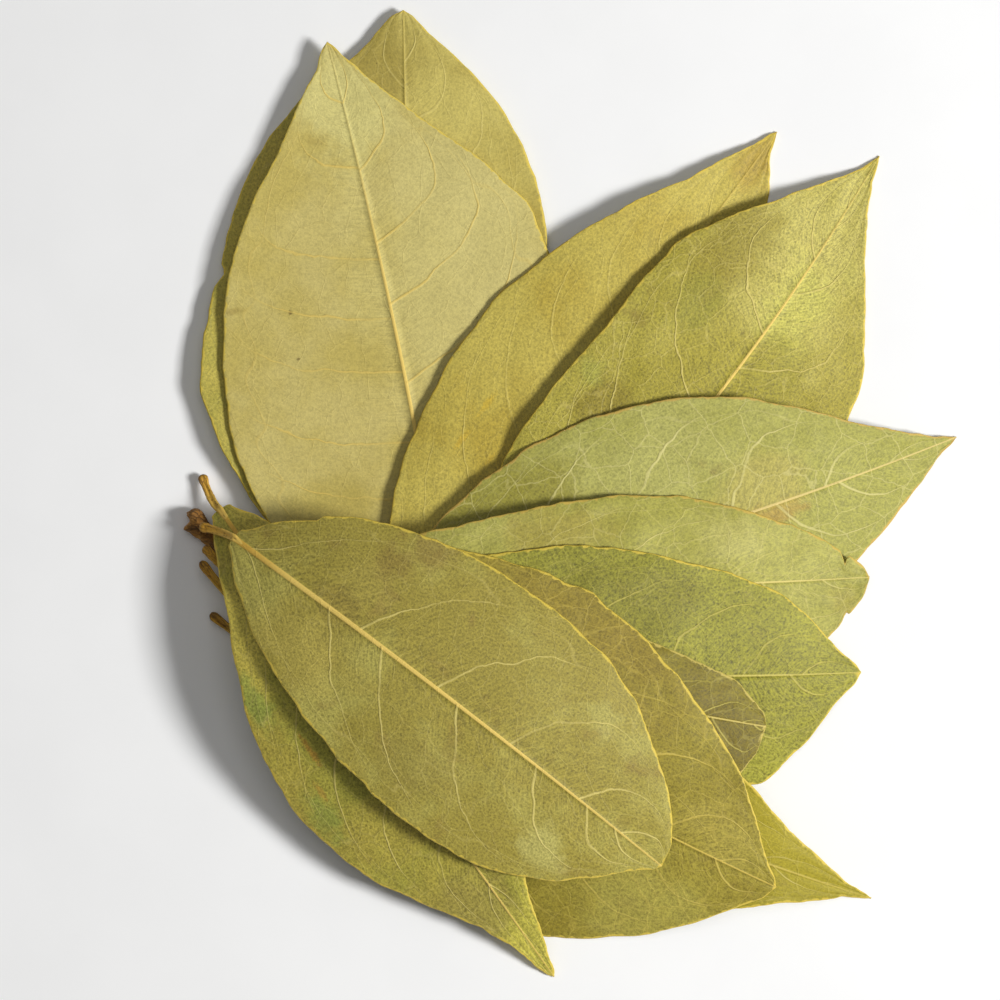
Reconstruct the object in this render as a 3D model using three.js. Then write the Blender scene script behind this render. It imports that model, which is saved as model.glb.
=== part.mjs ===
// A short cut twig of bay with its leaves fanned out like a hand of cards, lying on a flat surface.
// Millimetres, +Z up, z = 0 is the surface. Each leaf is one thin closed solid: its stalk runs on
// as the midrib. The leaves are laid down one by one, lowest first, each on what lies below it.

import * as THREE from 'three';

// Driving dimensions
const bladeThickness = 0.34;
const marginThickness = 0.3;
const midribWidth = 1.5;
const midribDepth = 0.7;
const stalkWidth = 1.5;
const stalkDepth = 1.1;
const stalkEndWidth = 1.8;
const stalkDroop = 1.5;
const restingGap = 0.36;
const twigDiameter = 3.0;
const twigTipDiameter = 2.0;
const twigJoints = 5;
const budLength = 4.2;
const budGap = 0.3;

// Fineness of the solids
const bladeRows = 16;
const stalkRows = 5;
const ringPoints = 14;
const twigRows = 18;
const twigSides = 10;
const sampleRows = 48;
const sampleColumns = 10;
const pileCell = 0.75;

// How strongly the stalk end is drawn down towards the twig, and how much a leaf resists bending.
const basePull = 8;
const stiffness = 0.0006;

// The twig's centre line on the surface, from its cut end to its bud end.
const twigLine = [[-56.7, -3], [-54, -6], [-48, -10.5], [-40, -16], [-32, -21], [-22, -26.6], [-13, -30.6]];

// The leaves, lowest first. base and tip are the ends of the blade, foot is the stalk's far end.
// left and right are the blade's half widths at seven stations, as seen from the base; bow is how
// far the midrib swings to the left. cup lifts the margins, arch the middle, lift the tip. A shed
// leaf has come off the twig, so its stalk ends free.
const leaves = [
  { name: 'leaf_01', base: [-20.5, -23], tip: [-35, 63.3], foot: [-18.6, -28.2], bow: -0.9,
    left: [7.5, 15, 23, 27.5, 22, 15, 5.5], right: [4, 8.5, 18, 24, 24.5, 17.5, 5.5],
    cup: 0.8, arch: 0.5, lift: 1 },
  { name: 'leaf_02', base: [-21, -20], tip: [-24.7, 72.1], foot: [-25.4, -24.7], bow: -0.4,
    left: [6, 12.5, 20, 23.5, 21.5, 14, 4.5], right: [3, 7, 14.5, 19.5, 19.5, 13, 3.5],
    cup: 1, arch: 0.6, lift: 1.5 },
  { name: 'leaf_03', base: [-17, -24], tip: [-36, 67.3], foot: [-14.6, -29.6], bow: -1.3,
    left: [8.5, 16.5, 24.5, 25.5, 20.5, 10, 2.5], right: [6, 13.5, 21, 26, 24, 11, 2.5],
    cup: 1.2, arch: 0.8, lift: 1.2 },
  { name: 'leaf_04', base: [-24.5, -16.5], tip: [31, 54], foot: [-30, -22], bow: -0.9,
    left: [5.5, 12, 16.5, 17.5, 13, 6, 1.5], right: [6, 12.5, 17, 17.5, 14, 8, 1.5],
    cup: 1, arch: 0.5, lift: 1.5 },
  { name: 'leaf_05', base: [-9, -20], tip: [46.3, 50.4], foot: [-16.5, -27.6], bow: -3.1,
    left: [7.5, 14.5, 17, 16.5, 15.5, 7, 1], right: [7.5, 16.5, 22.5, 23, 18.5, 7.5, 1.5],
    cup: 2.4, arch: 1.5, lift: 1 },
  { name: 'leaf_06', base: [-28, -17.7], tip: [57.8, 8.5], foot: [-36, -17.8], bow: -1.9,
    left: [4, 11, 17, 18.5, 14.5, 6, 1], right: [4.5, 11.5, 18, 20, 17, 9.5, 2],
    cup: 1.2, arch: 1, lift: 0.5 },
  { name: 'leaf_07', base: [-39, -20.7], tip: [44.8, -12.4], foot: [-45.5, -11.4], bow: -1.2,
    left: [5.5, 11.5, 14, 16, 14.5, 9.5, 4], right: [5.5, 11, 16, 18.5, 17, 12, 5],
    cup: 1, arch: 1, lift: 0.5 },
  { name: 'leaf_08', base: [-45, -22.5], tip: [43.6, -26.6], foot: [-53.4, -17.8], bow: -1.9,
    left: [5, 10.5, 14, 17, 15.5, 11.5, 3], right: [5, 10.5, 16.5, 21, 20.5, 16.5, 4.5],
    cup: 1, arch: 0.8, lift: 0.5, shed: true },
  { name: 'leaf_09', base: [-47.5, -17.5], tip: [45.1, -60.3], foot: [-54.8, -10], bow: -3.3,
    left: [5, 10.5, 14, 14, 11, 4, 0.5], right: [6, 13.5, 20, 21.5, 17.5, 8, 1.5],
    cup: 1.2, arch: 0.8, lift: 0, shed: true },
  { name: 'leaf_10', base: [-33, -22], tip: [29.2, -34.5], foot: [-38.4, -16.9], bow: -0.4,
    left: [4, 7.5, 10.5, 11, 9, 7, 3.5], right: [4, 8, 12, 14.5, 14.5, 11.5, 7.5],
    cup: 0.8, arch: 0.5, lift: 0.3 },
  { name: 'leaf_11', base: [-49, -12.8], tip: [30.8, -58.5], foot: [-54.6, -7.4], bow: -1.9,
    left: [6.5, 15, 21, 24.5, 20, 12.5, 3], right: [5.5, 13, 20, 25, 24.5, 16, 5.5],
    cup: 1.2, arch: 1, lift: 0.3, shed: true },
  { name: 'leaf_12', base: [-52.7, -1.5], tip: [-2.2, -72], foot: [-54.6, 3.3], bow: 0.4,
    left: [3, 7.5, 11.5, 13, 11, 4.5, 1.5], right: [2.5, 7, 13.5, 17, 13, 4.5, 1.5],
    cup: 1, arch: 0.6, lift: 0.3, shed: true },
  { name: 'leaf_13', base: [-49.3, -6.9], tip: [13.7, -55.2], foot: [-55.4, -4.8], bow: 0.8,
    left: [6, 13.5, 18.5, 20.5, 19.5, 13.5, 6.5], right: [4.5, 10, 14.5, 17.5, 17, 11.5, 3],
    cup: 1.3, arch: 1, lift: 0.5 },
];

const leafColours = [0x6f7a52, 0xa39a4d, 0xa9a878, 0xa79f5a, 0x8f9356, 0x97a06f, 0x98a06d,
  0x77814c, 0x9a9148, 0x7f7844, 0x86804a, 0x848a55, 0x99904f];
const barkColour = 0x7a5a30;
const budColour = 0x8a6a3a;

// ---- Closed lofts -------------------------------------------------------------------------------

// Joins rings of equal count into one closed body. Each end closes on a centre point.
function loft(rings, startPoint, endPoint) {
  const count = rings[0].length;
  const points = [...rings.flat(), startPoint, endPoint];
  const start = points.length - 2;
  const end = points.length - 1;
  const faces = [];
  for (let r = 0; r < rings.length - 1; r++) {
    for (let k = 0; k < count; k++) {
      const a = r * count + k;
      const b = r * count + (k + 1) % count;
      faces.push(a, b + count, b, a, a + count, b + count);
    }
  }
  const last = (rings.length - 1) * count;
  for (let k = 0; k < count; k++) {
    const next = (k + 1) % count;
    faces.push(start, k, next);
    faces.push(end, last + next, last + k);
  }
  const geometry = new THREE.BufferGeometry();
  geometry.setAttribute('position', new THREE.Float32BufferAttribute(points.flatMap(p => p.toArray()), 3));
  geometry.setIndex(faces);
  geometry.computeVertexNormals();
  return geometry;
}

// ---- The pile: the height of all that has been laid down so far ----------------------------------

const pile = new Map();

function cellOf(x, y) {
  return [Math.round(x / pileCell), Math.round(y / pileCell)];
}

// The height under a point, taken over the neighbouring cells too.
function pileHeight(x, y) {
  const [column, row] = cellOf(x, y);
  let height = 0;
  for (let i = -1; i <= 1; i++) {
    for (let j = -1; j <= 1; j++) {
      height = Math.max(height, pile.get(`${column + i},${row + j}`) ?? 0);
    }
  }
  return height;
}

function addToPile(x, y, z) {
  const key = cellOf(x, y).join();
  pile.set(key, Math.max(pile.get(key) ?? 0, z));
}

// Lays a loft's upper side onto the pile, sampled between its rings and between their points.
function layRings(rings) {
  const samples = 8;
  const count = rings[0].length;
  const low = new THREE.Vector3();
  const high = new THREE.Vector3();
  for (let r = 0; r < rings.length - 1; r++) {
    for (let k = 0; k < count; k++) {
      const next = (k + 1) % count;
      for (let i = 0; i <= samples; i++) {
        low.lerpVectors(rings[r][k], rings[r][next], i / samples);
        high.lerpVectors(rings[r + 1][k], rings[r + 1][next], i / samples);
        for (let j = 0; j <= samples; j++) {
          const p = low.clone().lerp(high, j / samples);
          addToPile(p.x, p.y, p.z);
        }
      }
    }
  }
}

// ---- One leaf -----------------------------------------------------------------------------------

// A smooth curve through the half widths, which closes to nothing at base and tip. The stations are
// closer together towards the ends, so that round and drawn-out tips both come out.
function halfWidth(widths, s) {
  const values = [-widths[0], 0, ...widths, 0, -widths[widths.length - 1]];
  const place = Math.acos(1 - 2 * s) / Math.PI * (widths.length + 1);
  const i = Math.min(Math.floor(place), widths.length);
  const f = place - i;
  const [p0, p1, p2, p3] = values.slice(i, i + 4);
  const slope = (p2 - p0) / 2;
  const nextSlope = (p3 - p1) / 2;
  const rise = p2 - p1;
  return p1 + slope * f + (3 * rise - 2 * slope - nextSlope) * f ** 2
    + (slope + nextSlope - 2 * rise) * f ** 3;
}

// The blade's plane frame: s runs from base to tip, t from the right margin (-1) to the left (1).
function bladePlan(leaf) {
  const base = new THREE.Vector2(...leaf.base);
  const along = new THREE.Vector2(...leaf.tip).sub(base);
  const toLeft = new THREE.Vector2(-along.y, along.x).normalize();
  const middle = s => 4 * leaf.bow * s * (1 - s);
  const reach = (s, side) => {
    const room = side > 0 ? halfWidth(leaf.left, s) - middle(s) : halfWidth(leaf.right, s) + middle(s);
    return Math.max(room, midribWidth / 4);
  };
  const point = (s, t) => {
    const across = middle(s) + t * reach(s, t);
    const p = base.clone().addScaledVector(along, s).addScaledVector(toLeft, across);
    return { x: p.x, y: p.y, across };
  };
  return { point, reach };
}

// The leaf's own form before it rests on anything.
function ownHeight(leaf, s, t) {
  const widest = Math.sin(Math.PI * s);
  return leaf.cup * t * t * widest + leaf.arch * widest + leaf.lift * s ** 4;
}

// The few ways in which a stiff dry leaf gives: slope, bend, sway, a nod near the stalk, tilt,
// twist and crosswise bend.
function giving(s, across) {
  const side = across / 20;
  return [s, s * s, s ** 3, (1 - s) ** 6, side, s * side, s * s * side, side * side];
}

// Trial moves for the search: every way up or down alone, and every pair of ways together.
function moves(count) {
  const list = [];
  for (let k = 0; k < count; k++) {
    for (let n = k; n < count; n++) {
      for (const [first, second] of [[1, 1], [1, -1], [-1, 1], [-1, -1]]) {
        const move = new Array(count).fill(0);
        move[k] = first;
        move[n] = n === k ? first : second;
        list.push(move);
      }
    }
  }
  return [...list, ...list];
}

// Finds how the leaf lies lowest on the pile without touching it, and returns its height function.
function settle(leaf, plan) {
  const samples = [];
  for (let i = 1; i < sampleRows; i++) {
    for (let j = -sampleColumns; j <= sampleColumns; j++) {
      const s = (1 - Math.cos(Math.PI * i / sampleRows)) / 2;
      const t = j / sampleColumns;
      const { x, y, across } = plan.point(s, t);
      const below = pileHeight(x, y);
      const keel = j === 0 ? midribDepth * (1 - 0.7 * s) : bladeThickness / 2;
      const need = below + (below > 0 ? restingGap : 0) + keel;
      const pull = 1 + basePull * (1 - s) ** 3;
      samples.push({ own: ownHeight(leaf, s, t) - need, ways: giving(s, across), pull });
    }
  }
  const clearance = (sample, amounts) =>
    sample.ways.reduce((sum, way, k) => sum + way * amounts[k], sample.own);
  const cost = amounts => {
    const heights = samples.map(sample => clearance(sample, amounts));
    const lift = -Math.min(...heights);
    const pulled = heights.reduce((sum, h, n) => sum + (h + lift) * samples[n].pull, 0);
    const strain = amounts.reduce((sum, amount) => sum + amount * amount, 0);
    return { total: pulled / samples.length + stiffness * strain, lift };
  };
  let amounts = giving(0, 0).map(() => 0);
  let best = cost(amounts);
  for (let step = 4; step > 0.02; step *= 0.7) {
    for (const move of moves(amounts.length)) {
      const trial = amounts.map((amount, n) => amount + step * move[n]);
      const result = cost(trial);
      if (result.total < best.total) {
        amounts = trial;
        best = result;
      }
    }
  }
  return (s, t, across) => ownHeight(leaf, s, t) + best.lift
    + giving(s, across).reduce((sum, way, k) => sum + way * amounts[k], 0);
}

// The ring's columns: margins, half way, and both sides and the crest of the midrib.
function columnsAt(plan, s) {
  const ribEdge = side => Math.min(midribWidth / 2 / plan.reach(s, side), 0.4);
  return [-1, -0.5, -ribEdge(-1), 0, ribEdge(1), 0.5, 1];
}

// One cross ring of the blade: over the top from right to left, then back underneath.
function bladeRing(plan, height, s) {
  const top = [];
  const under = [];
  for (const t of columnsAt(plan, s)) {
    const { x, y, across } = plan.point(s, t);
    const middle = height(s, t, across);
    const half = (Math.abs(t) === 1 ? marginThickness : bladeThickness) / 2;
    const keel = t === 0 ? midribDepth * (1 - 0.7 * s) - half : half;
    top.push(new THREE.Vector3(x, y, middle + half));
    under.unshift(new THREE.Vector3(x, y, middle - keel));
  }
  return [...top, ...under];
}

// An upright ring across a direction in the plane, starting on its right and going over the top.
function uprightRing(centre, z, direction, width, depth, count) {
  const ring = [];
  for (let k = 0; k < count; k++) {
    const angle = 2 * Math.PI * (k + 0.5) / count;
    const side = Math.cos(angle) * width / 2;
    const up = Math.sin(angle) * depth / 2;
    ring.push(new THREE.Vector3(centre.x + direction.y * side, centre.y - direction.x * side, z + up));
  }
  return ring;
}

// The stalk's rings, from its foot to the blade's base. It rides over what lies below.
function stalkRings(leaf, plan, height) {
  const base = plan.point(0, 0);
  const ahead = plan.point(0.04, 0);
  const knee = new THREE.Vector2(2 * base.x - ahead.x, 2 * base.y - ahead.y);
  const foot = new THREE.Vector2(...leaf.foot);
  const line = new THREE.QuadraticBezierCurve(foot, knee, new THREE.Vector2(base.x, base.y));
  const baseZ = height(0, 0, 0);
  const lowest = p => pileHeight(p.x, p.y) + restingGap + stalkDepth / 2;
  const footZ = Math.max(lowest(foot), leaf.shed ? baseZ - stalkDroop : 0);
  const rings = [];
  for (let r = 0; r < stalkRows; r++) {
    const f = r / stalkRows;
    const p = line.getPoint(f);
    const level = footZ + (baseZ - footZ) * f;
    const width = r === 0 ? stalkEndWidth : stalkWidth;
    const z = Math.max(level, lowest(p));
    rings.push(uprightRing(p, z, line.getTangent(f), width, stalkDepth, ringPoints));
  }
  return rings;
}

function makeLeaf(leaf, colour) {
  const plan = bladePlan(leaf);
  const height = settle(leaf, plan);
  const rings = stalkRings(leaf, plan, height);
  for (let row = 1; row < bladeRows; row++) {
    const s = (1 - Math.cos(Math.PI * row / bladeRows)) / 2;
    rings.push(bladeRing(plan, height, s));
  }
  layRings(rings);
  const total = rings[0].reduce((sum, p) => sum.add(p), new THREE.Vector3());
  const foot = total.divideScalar(rings[0].length);
  const tip = new THREE.Vector3(...leaf.tip, height(1, 0, 0));
  return mesh(leaf.name, loft(rings, foot, tip), colour, 0.75);
}

// ---- The twig -----------------------------------------------------------------------------------

// The twig flares at its cut end, swells at its joints and thins towards its bud.
function twigRadius(f) {
  const plain = (twigDiameter + (twigTipDiameter - twigDiameter) * f) / 2;
  const flare = 0.35 * Math.max(0, 1 - f / 0.06);
  const joint = 0.2 * Math.max(0, Math.cos(2 * Math.PI * twigJoints * f)) ** 6;
  return plain + flare + joint;
}

function makeTwig() {
  const line = new THREE.SplineCurve(twigLine.map(p => new THREE.Vector2(...p)));
  const rings = [];
  for (let r = 0; r <= twigRows; r++) {
    const f = r / twigRows;
    const radius = twigRadius(f);
    const size = 2 * radius;
    rings.push(uprightRing(line.getPointAt(f), radius, line.getTangentAt(f), size, size, twigSides));
  }
  layRings(rings);
  const start = line.getPointAt(0);
  const end = line.getPointAt(1);
  const cutFace = new THREE.Vector3(start.x, start.y, twigRadius(0));
  const endFace = new THREE.Vector3(end.x, end.y, twigRadius(1));
  return mesh('twig', loft(rings, cutFace, endFace), barkColour, 0.85);
}

// The pointed bud that ends the twig.
function makeBud() {
  const line = new THREE.SplineCurve(twigLine.map(p => new THREE.Vector2(...p)));
  const direction = line.getTangentAt(1);
  const start = line.getPointAt(1).addScaledVector(direction, budGap);
  const profile = [[0.55, 0], [0.95, 0.3], [0.8, 0.6], [0.4, 0.88]];
  const rings = profile.map(([share, f]) => {
    const p = start.clone().addScaledVector(direction, f * budLength);
    const size = share * twigTipDiameter;
    return uprightRing(p, twigTipDiameter / 2, direction, size, size, twigSides);
  });
  layRings(rings);
  const tip = start.clone().addScaledVector(direction, budLength);
  const foot = new THREE.Vector3(start.x, start.y, twigTipDiameter / 2);
  const end = new THREE.Vector3(tip.x, tip.y, twigTipDiameter / 2);
  return mesh('end_bud', loft(rings, foot, end), budColour, 0.8);
}

function mesh(name, geometry, colour, roughness) {
  const material = new THREE.MeshStandardMaterial({ color: colour, roughness, metalness: 0 });
  const result = new THREE.Mesh(geometry, material);
  result.name = name;
  return result;
}

// ---- The branch ---------------------------------------------------------------------------------

const branch = new THREE.Group();
branch.add(makeTwig());
branch.add(makeBud());
leaves.forEach((leaf, i) => branch.add(makeLeaf(leaf, leafColours[i])));

// The origin is the middle of the branch's outer box, on the surface.
const box = new THREE.Box3().setFromObject(branch);
const centre = box.getCenter(new THREE.Vector3());
branch.position.set(-centre.x, -centre.y, -box.min.z);

export default branch;
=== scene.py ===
import math
import bmesh
import bpy
import numpy as np
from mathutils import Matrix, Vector


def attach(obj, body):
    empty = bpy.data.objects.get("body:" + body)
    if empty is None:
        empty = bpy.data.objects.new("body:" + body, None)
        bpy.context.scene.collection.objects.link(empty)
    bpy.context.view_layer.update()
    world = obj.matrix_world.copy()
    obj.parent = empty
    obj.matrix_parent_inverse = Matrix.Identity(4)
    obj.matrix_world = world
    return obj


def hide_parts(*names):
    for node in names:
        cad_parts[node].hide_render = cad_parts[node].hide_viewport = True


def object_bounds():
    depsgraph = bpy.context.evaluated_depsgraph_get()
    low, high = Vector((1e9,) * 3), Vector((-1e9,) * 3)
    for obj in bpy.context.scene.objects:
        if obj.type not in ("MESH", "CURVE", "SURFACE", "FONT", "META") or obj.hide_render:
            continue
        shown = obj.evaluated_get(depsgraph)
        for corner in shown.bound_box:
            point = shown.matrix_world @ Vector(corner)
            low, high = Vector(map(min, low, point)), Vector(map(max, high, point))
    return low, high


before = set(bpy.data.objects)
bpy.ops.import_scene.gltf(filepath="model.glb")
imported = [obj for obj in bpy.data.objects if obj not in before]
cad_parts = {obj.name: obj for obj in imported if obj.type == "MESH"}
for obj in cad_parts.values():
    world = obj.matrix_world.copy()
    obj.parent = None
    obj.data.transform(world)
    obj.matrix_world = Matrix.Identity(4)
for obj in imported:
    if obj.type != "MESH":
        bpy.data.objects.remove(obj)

cadBounds = [list(corner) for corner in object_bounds()]
mm = 0.001
print("frame loaded:", len(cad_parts), "nodes")


def addObject(name, data):
    added = bpy.data.objects.new(name, data)
    bpy.context.scene.collection.objects.link(added)
    return added


def nodeMesh(name):
    # vertices in millimetres and edges of one CAD node
    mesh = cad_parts[name].data
    points = np.zeros(len(mesh.vertices) * 3)
    mesh.vertices.foreach_get("co", points)
    edges = np.zeros(len(mesh.edges) * 2, int)
    mesh.edges.foreach_get("vertices", edges)
    return points.reshape(-1, 3) / mm, edges.reshape(-1, 2)


def farthestPair(points):
    flat = points[:, :2]
    start = flat[np.argmax(((flat - flat.mean(0)) ** 2).sum(1))]
    first = flat[np.argmax(((flat - start) ** 2).sum(1))]
    second = flat[np.argmax(((flat - first) ** 2).sum(1))]
    return first, second


def crossSpan(place, edges, station):
    # lowest and highest sideways place where the plan crosses a station along the blade
    a, b = place[edges[:, 0]], place[edges[:, 1]]
    crossing = (a[:, 0] - station) * (b[:, 0] - station) < 0
    a, b = a[crossing], b[crossing]
    if len(a) == 0:
        return 0.0, 0.0
    share = (station - a[:, 0]) / (b[:, 0] - a[:, 0])
    side = a[:, 1] + share * (b[:, 1] - a[:, 1])
    return side.min(), side.max()


def bladeAxes(base, tip):
    along = (tip - base) / np.linalg.norm(tip - base)
    return along, np.array([-along[1], along[0]])


def measureLeaf(name, twigMiddle):
    # base, tip and outline of the blade, measured on the CAD solid
    points, edges = nodeMesh(name)
    foot, tip = farthestPair(points)
    if np.linalg.norm(tip - twigMiddle) < np.linalg.norm(foot - twigMiddle):
        foot, tip = tip, foot
    along, left = bladeAxes(foot, tip)
    place = (points[:, :2] - foot) @ np.stack([along, left], 1)
    base = foot
    for station in np.arange(1.0, 20.0, 0.2):
        low, high = crossSpan(place, edges, station)
        if high - low > measure["bladeStart"]:
            base = foot + along * station + left * (low + high) / 2
            break
    along, left = bladeAxes(base, tip)
    length = np.linalg.norm(tip - base)
    place = (points[:, :2] - base) @ np.stack([along, left], 1)
    turn = np.linspace(0, math.pi, measure["stations"] + 1)[1:-1]
    shares = (1 - np.cos(turn)) / 2
    spans = np.array([crossSpan(place, edges, s * length) for s in shares])
    return {
        "base": base, "tip": tip, "foot": foot, "along": along, "left": left, "length": length,
        "turn": np.concatenate([[0], turn, [math.pi]]),
        "reach": {side: np.concatenate([[0], side * spans[:, column], [0]])
            for side, column in ((1, 1), (-1, 0))},
        "place": place, "points": points,
    }


measure = {
    "bladeStart": 2.6,  # mm across, where a stalk becomes a blade
    "stations": 32,  # cross cuts along each blade
    "sideUnit": 20,  # mm, the unit of sideways places in the bending terms
    "usualHalf": 18,  # mm, half the width of a usual blade
}


def smoothAlong(turn, values, wanted):
    # cubic through the stations, so a faceted outline comes out smooth
    count = len(values) - 1
    spot = np.clip(np.interp(wanted, turn, np.arange(count + 1)), 0, count - 1e-9)
    i = spot.astype(int)
    f = spot - i
    padded = np.concatenate([[-values[1]], values, [-values[-2]]])
    p0, p1, p2, p3 = (padded[i + k] for k in range(4))
    return p1 + f * (p2 - p0) / 2 + f ** 2 * (2 * p0 - 5 * p1 + 4 * p2 - p3) / 2 \
        + f ** 3 * (3 * p1 - p0 - 3 * p2 + p3) / 2


def heightTerms(s, side, t):
    # the same few ways to bend that a stiff leaf has
    wide = np.sin(math.pi * np.clip(s, 0, 1))
    return np.stack([
        np.ones_like(s), s, s ** 2, s ** 3, s ** 4, (1 - s) ** 6, side, s * side, s * s * side,
        side ** 2, wide, t * t * wide, s * side ** 2,
    ], -1)


def valueNoise(x, y, seed):
    # smooth repeatable noise, -1 to 1
    rng = np.random.default_rng(seed)
    grid = rng.uniform(-1, 1, (64, 64))
    ix, iy = np.floor(x).astype(int), np.floor(y).astype(int)
    fx, fy = x - ix, y - iy
    fx, fy = fx * fx * (3 - 2 * fx), fy * fy * (3 - 2 * fy)
    low = grid[ix % 64, iy % 64] * (1 - fx) + grid[(ix + 1) % 64, iy % 64] * fx
    high = grid[ix % 64, (iy + 1) % 64] * (1 - fx) + grid[(ix + 1) % 64, (iy + 1) % 64] * fx
    return low * (1 - fy) + high * fy


def blurGrid(values, rounds):
    for _ in range(rounds):
        padded = np.pad(values, 1, mode="edge")
        values = (padded[:-2, 1:-1] + padded[2:, 1:-1] + padded[1:-1, :-2] + padded[1:-1, 2:]
                  + 4 * values) / 8
    return values


class Pile:
    # height of all that has been laid down so far, on a fine grid over the floor
    border = 5  # mm of floor round the frame's own box

    def __init__(self, low, high, cell):
        self.low = np.array(low[:2]) - self.border
        self.cell = cell
        shape = np.ceil((np.array(high[:2]) + self.border - self.low) / cell).astype(int) + 2
        self.height = np.zeros(shape)

    def index(self, x, y):
        i = np.round((x - self.low[0]) / self.cell).astype(int)
        j = np.round((y - self.low[1]) / self.cell).astype(int)
        return np.clip(i, 1, self.height.shape[0] - 2), np.clip(j, 1, self.height.shape[1] - 2)

    def under(self, x, y):
        i, j = self.index(x, y)
        around = [self.height[i + a, j + b] for a in (-1, 0, 1) for b in (-1, 0, 1)]
        return np.max(around, 0)

    def lay(self, x, y, z):
        # a grid of heights, filled in between its points
        for a in (0, 0.5):
            for b in (0, 0.5):
                p = [(1 - a) * (1 - b) * g[:-1, :-1] + a * (1 - b) * g[1:, :-1]
                    + (1 - a) * b * g[:-1, 1:] + a * b * g[1:, 1:] for g in (x, y, z)]
                i, j = self.index(p[0], p[1])
                np.maximum.at(self.height, (i.ravel(), j.ravel()), p[2].ravel())


def makeObject(name, points, faces, material, node):
    mesh = bpy.data.meshes.new(name)
    whole = [list(map(int, face)) for face in faces]
    mesh.from_pydata((np.asarray(points) * mm).tolist(), [], whole)
    work = bmesh.new()
    work.from_mesh(mesh)
    bmesh.ops.recalc_face_normals(work, faces=work.faces)
    work.to_mesh(mesh)
    work.free()
    mesh.polygons.foreach_set("use_smooth", [True] * len(mesh.polygons))
    mesh.materials.append(material)
    mesh.update()
    piece = addObject(name, mesh)
    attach(piece, "root")
    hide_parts(node)
    return piece


def addVectors(piece, name, values):
    layer = piece.data.attributes.new(name, "FLOAT_VECTOR", "POINT")
    layer.data.foreach_set("vector", np.asarray(values, float).ravel())


blade = {
    "rows": 160, "ribColumns": 3, "sideColumns": 34,
    "firstTurn": 0.035, "lastTurn": 0.02,  # radians of a half turn left off at base and tip
    "crowding": 1.4,  # columns stand closer together towards the margin
    "leastReach": 0.12,  # mm from the middle line to the margin
    "halfThickness": 0.13, "thinMargin": 0.3,  # mm
    "ribHalf": 0.46, "ribTop": 0.17, "ribUnder": 0.46,  # mm
    "ribTaper": 0.7, "ribSink": 0.75,  # shares of its width and height lost towards the tip
    "veinReach": 0.13, "veinSweep": 0.2,  # how far a side vein runs forward, as shares of length
    "quilt": 0.09,  # mm the blade puffs up between its side veins
    "edgeWave": 0.3, "ripple": 0.1,  # mm, slow waves at the margin and all over
    "edgeNibble": 0.13,  # mm, fine unevenness of the outline
    "edgeSway": 0.22,  # mm, its longer waves
    "evenEnds": 4,  # mm from base and tip over which the outline turns even
    "clearance": 0.07,  # mm kept over what lies below
    "pileCell": 0.45,  # mm, cells of the grid of heights
}

plainShape = {
    "rib": 0.8,  # the midrib's width as a share of the blade's ribHalf
    "sweeps": (1, 1),  # how far the left and the right veins run forward
    "pucker": 0.04, "crinkle": 0.08,  # mm of small and of wider unevenness
    "nicks": [],  # side, share of the length, mm it runs back and on, mm deep
}

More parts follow.
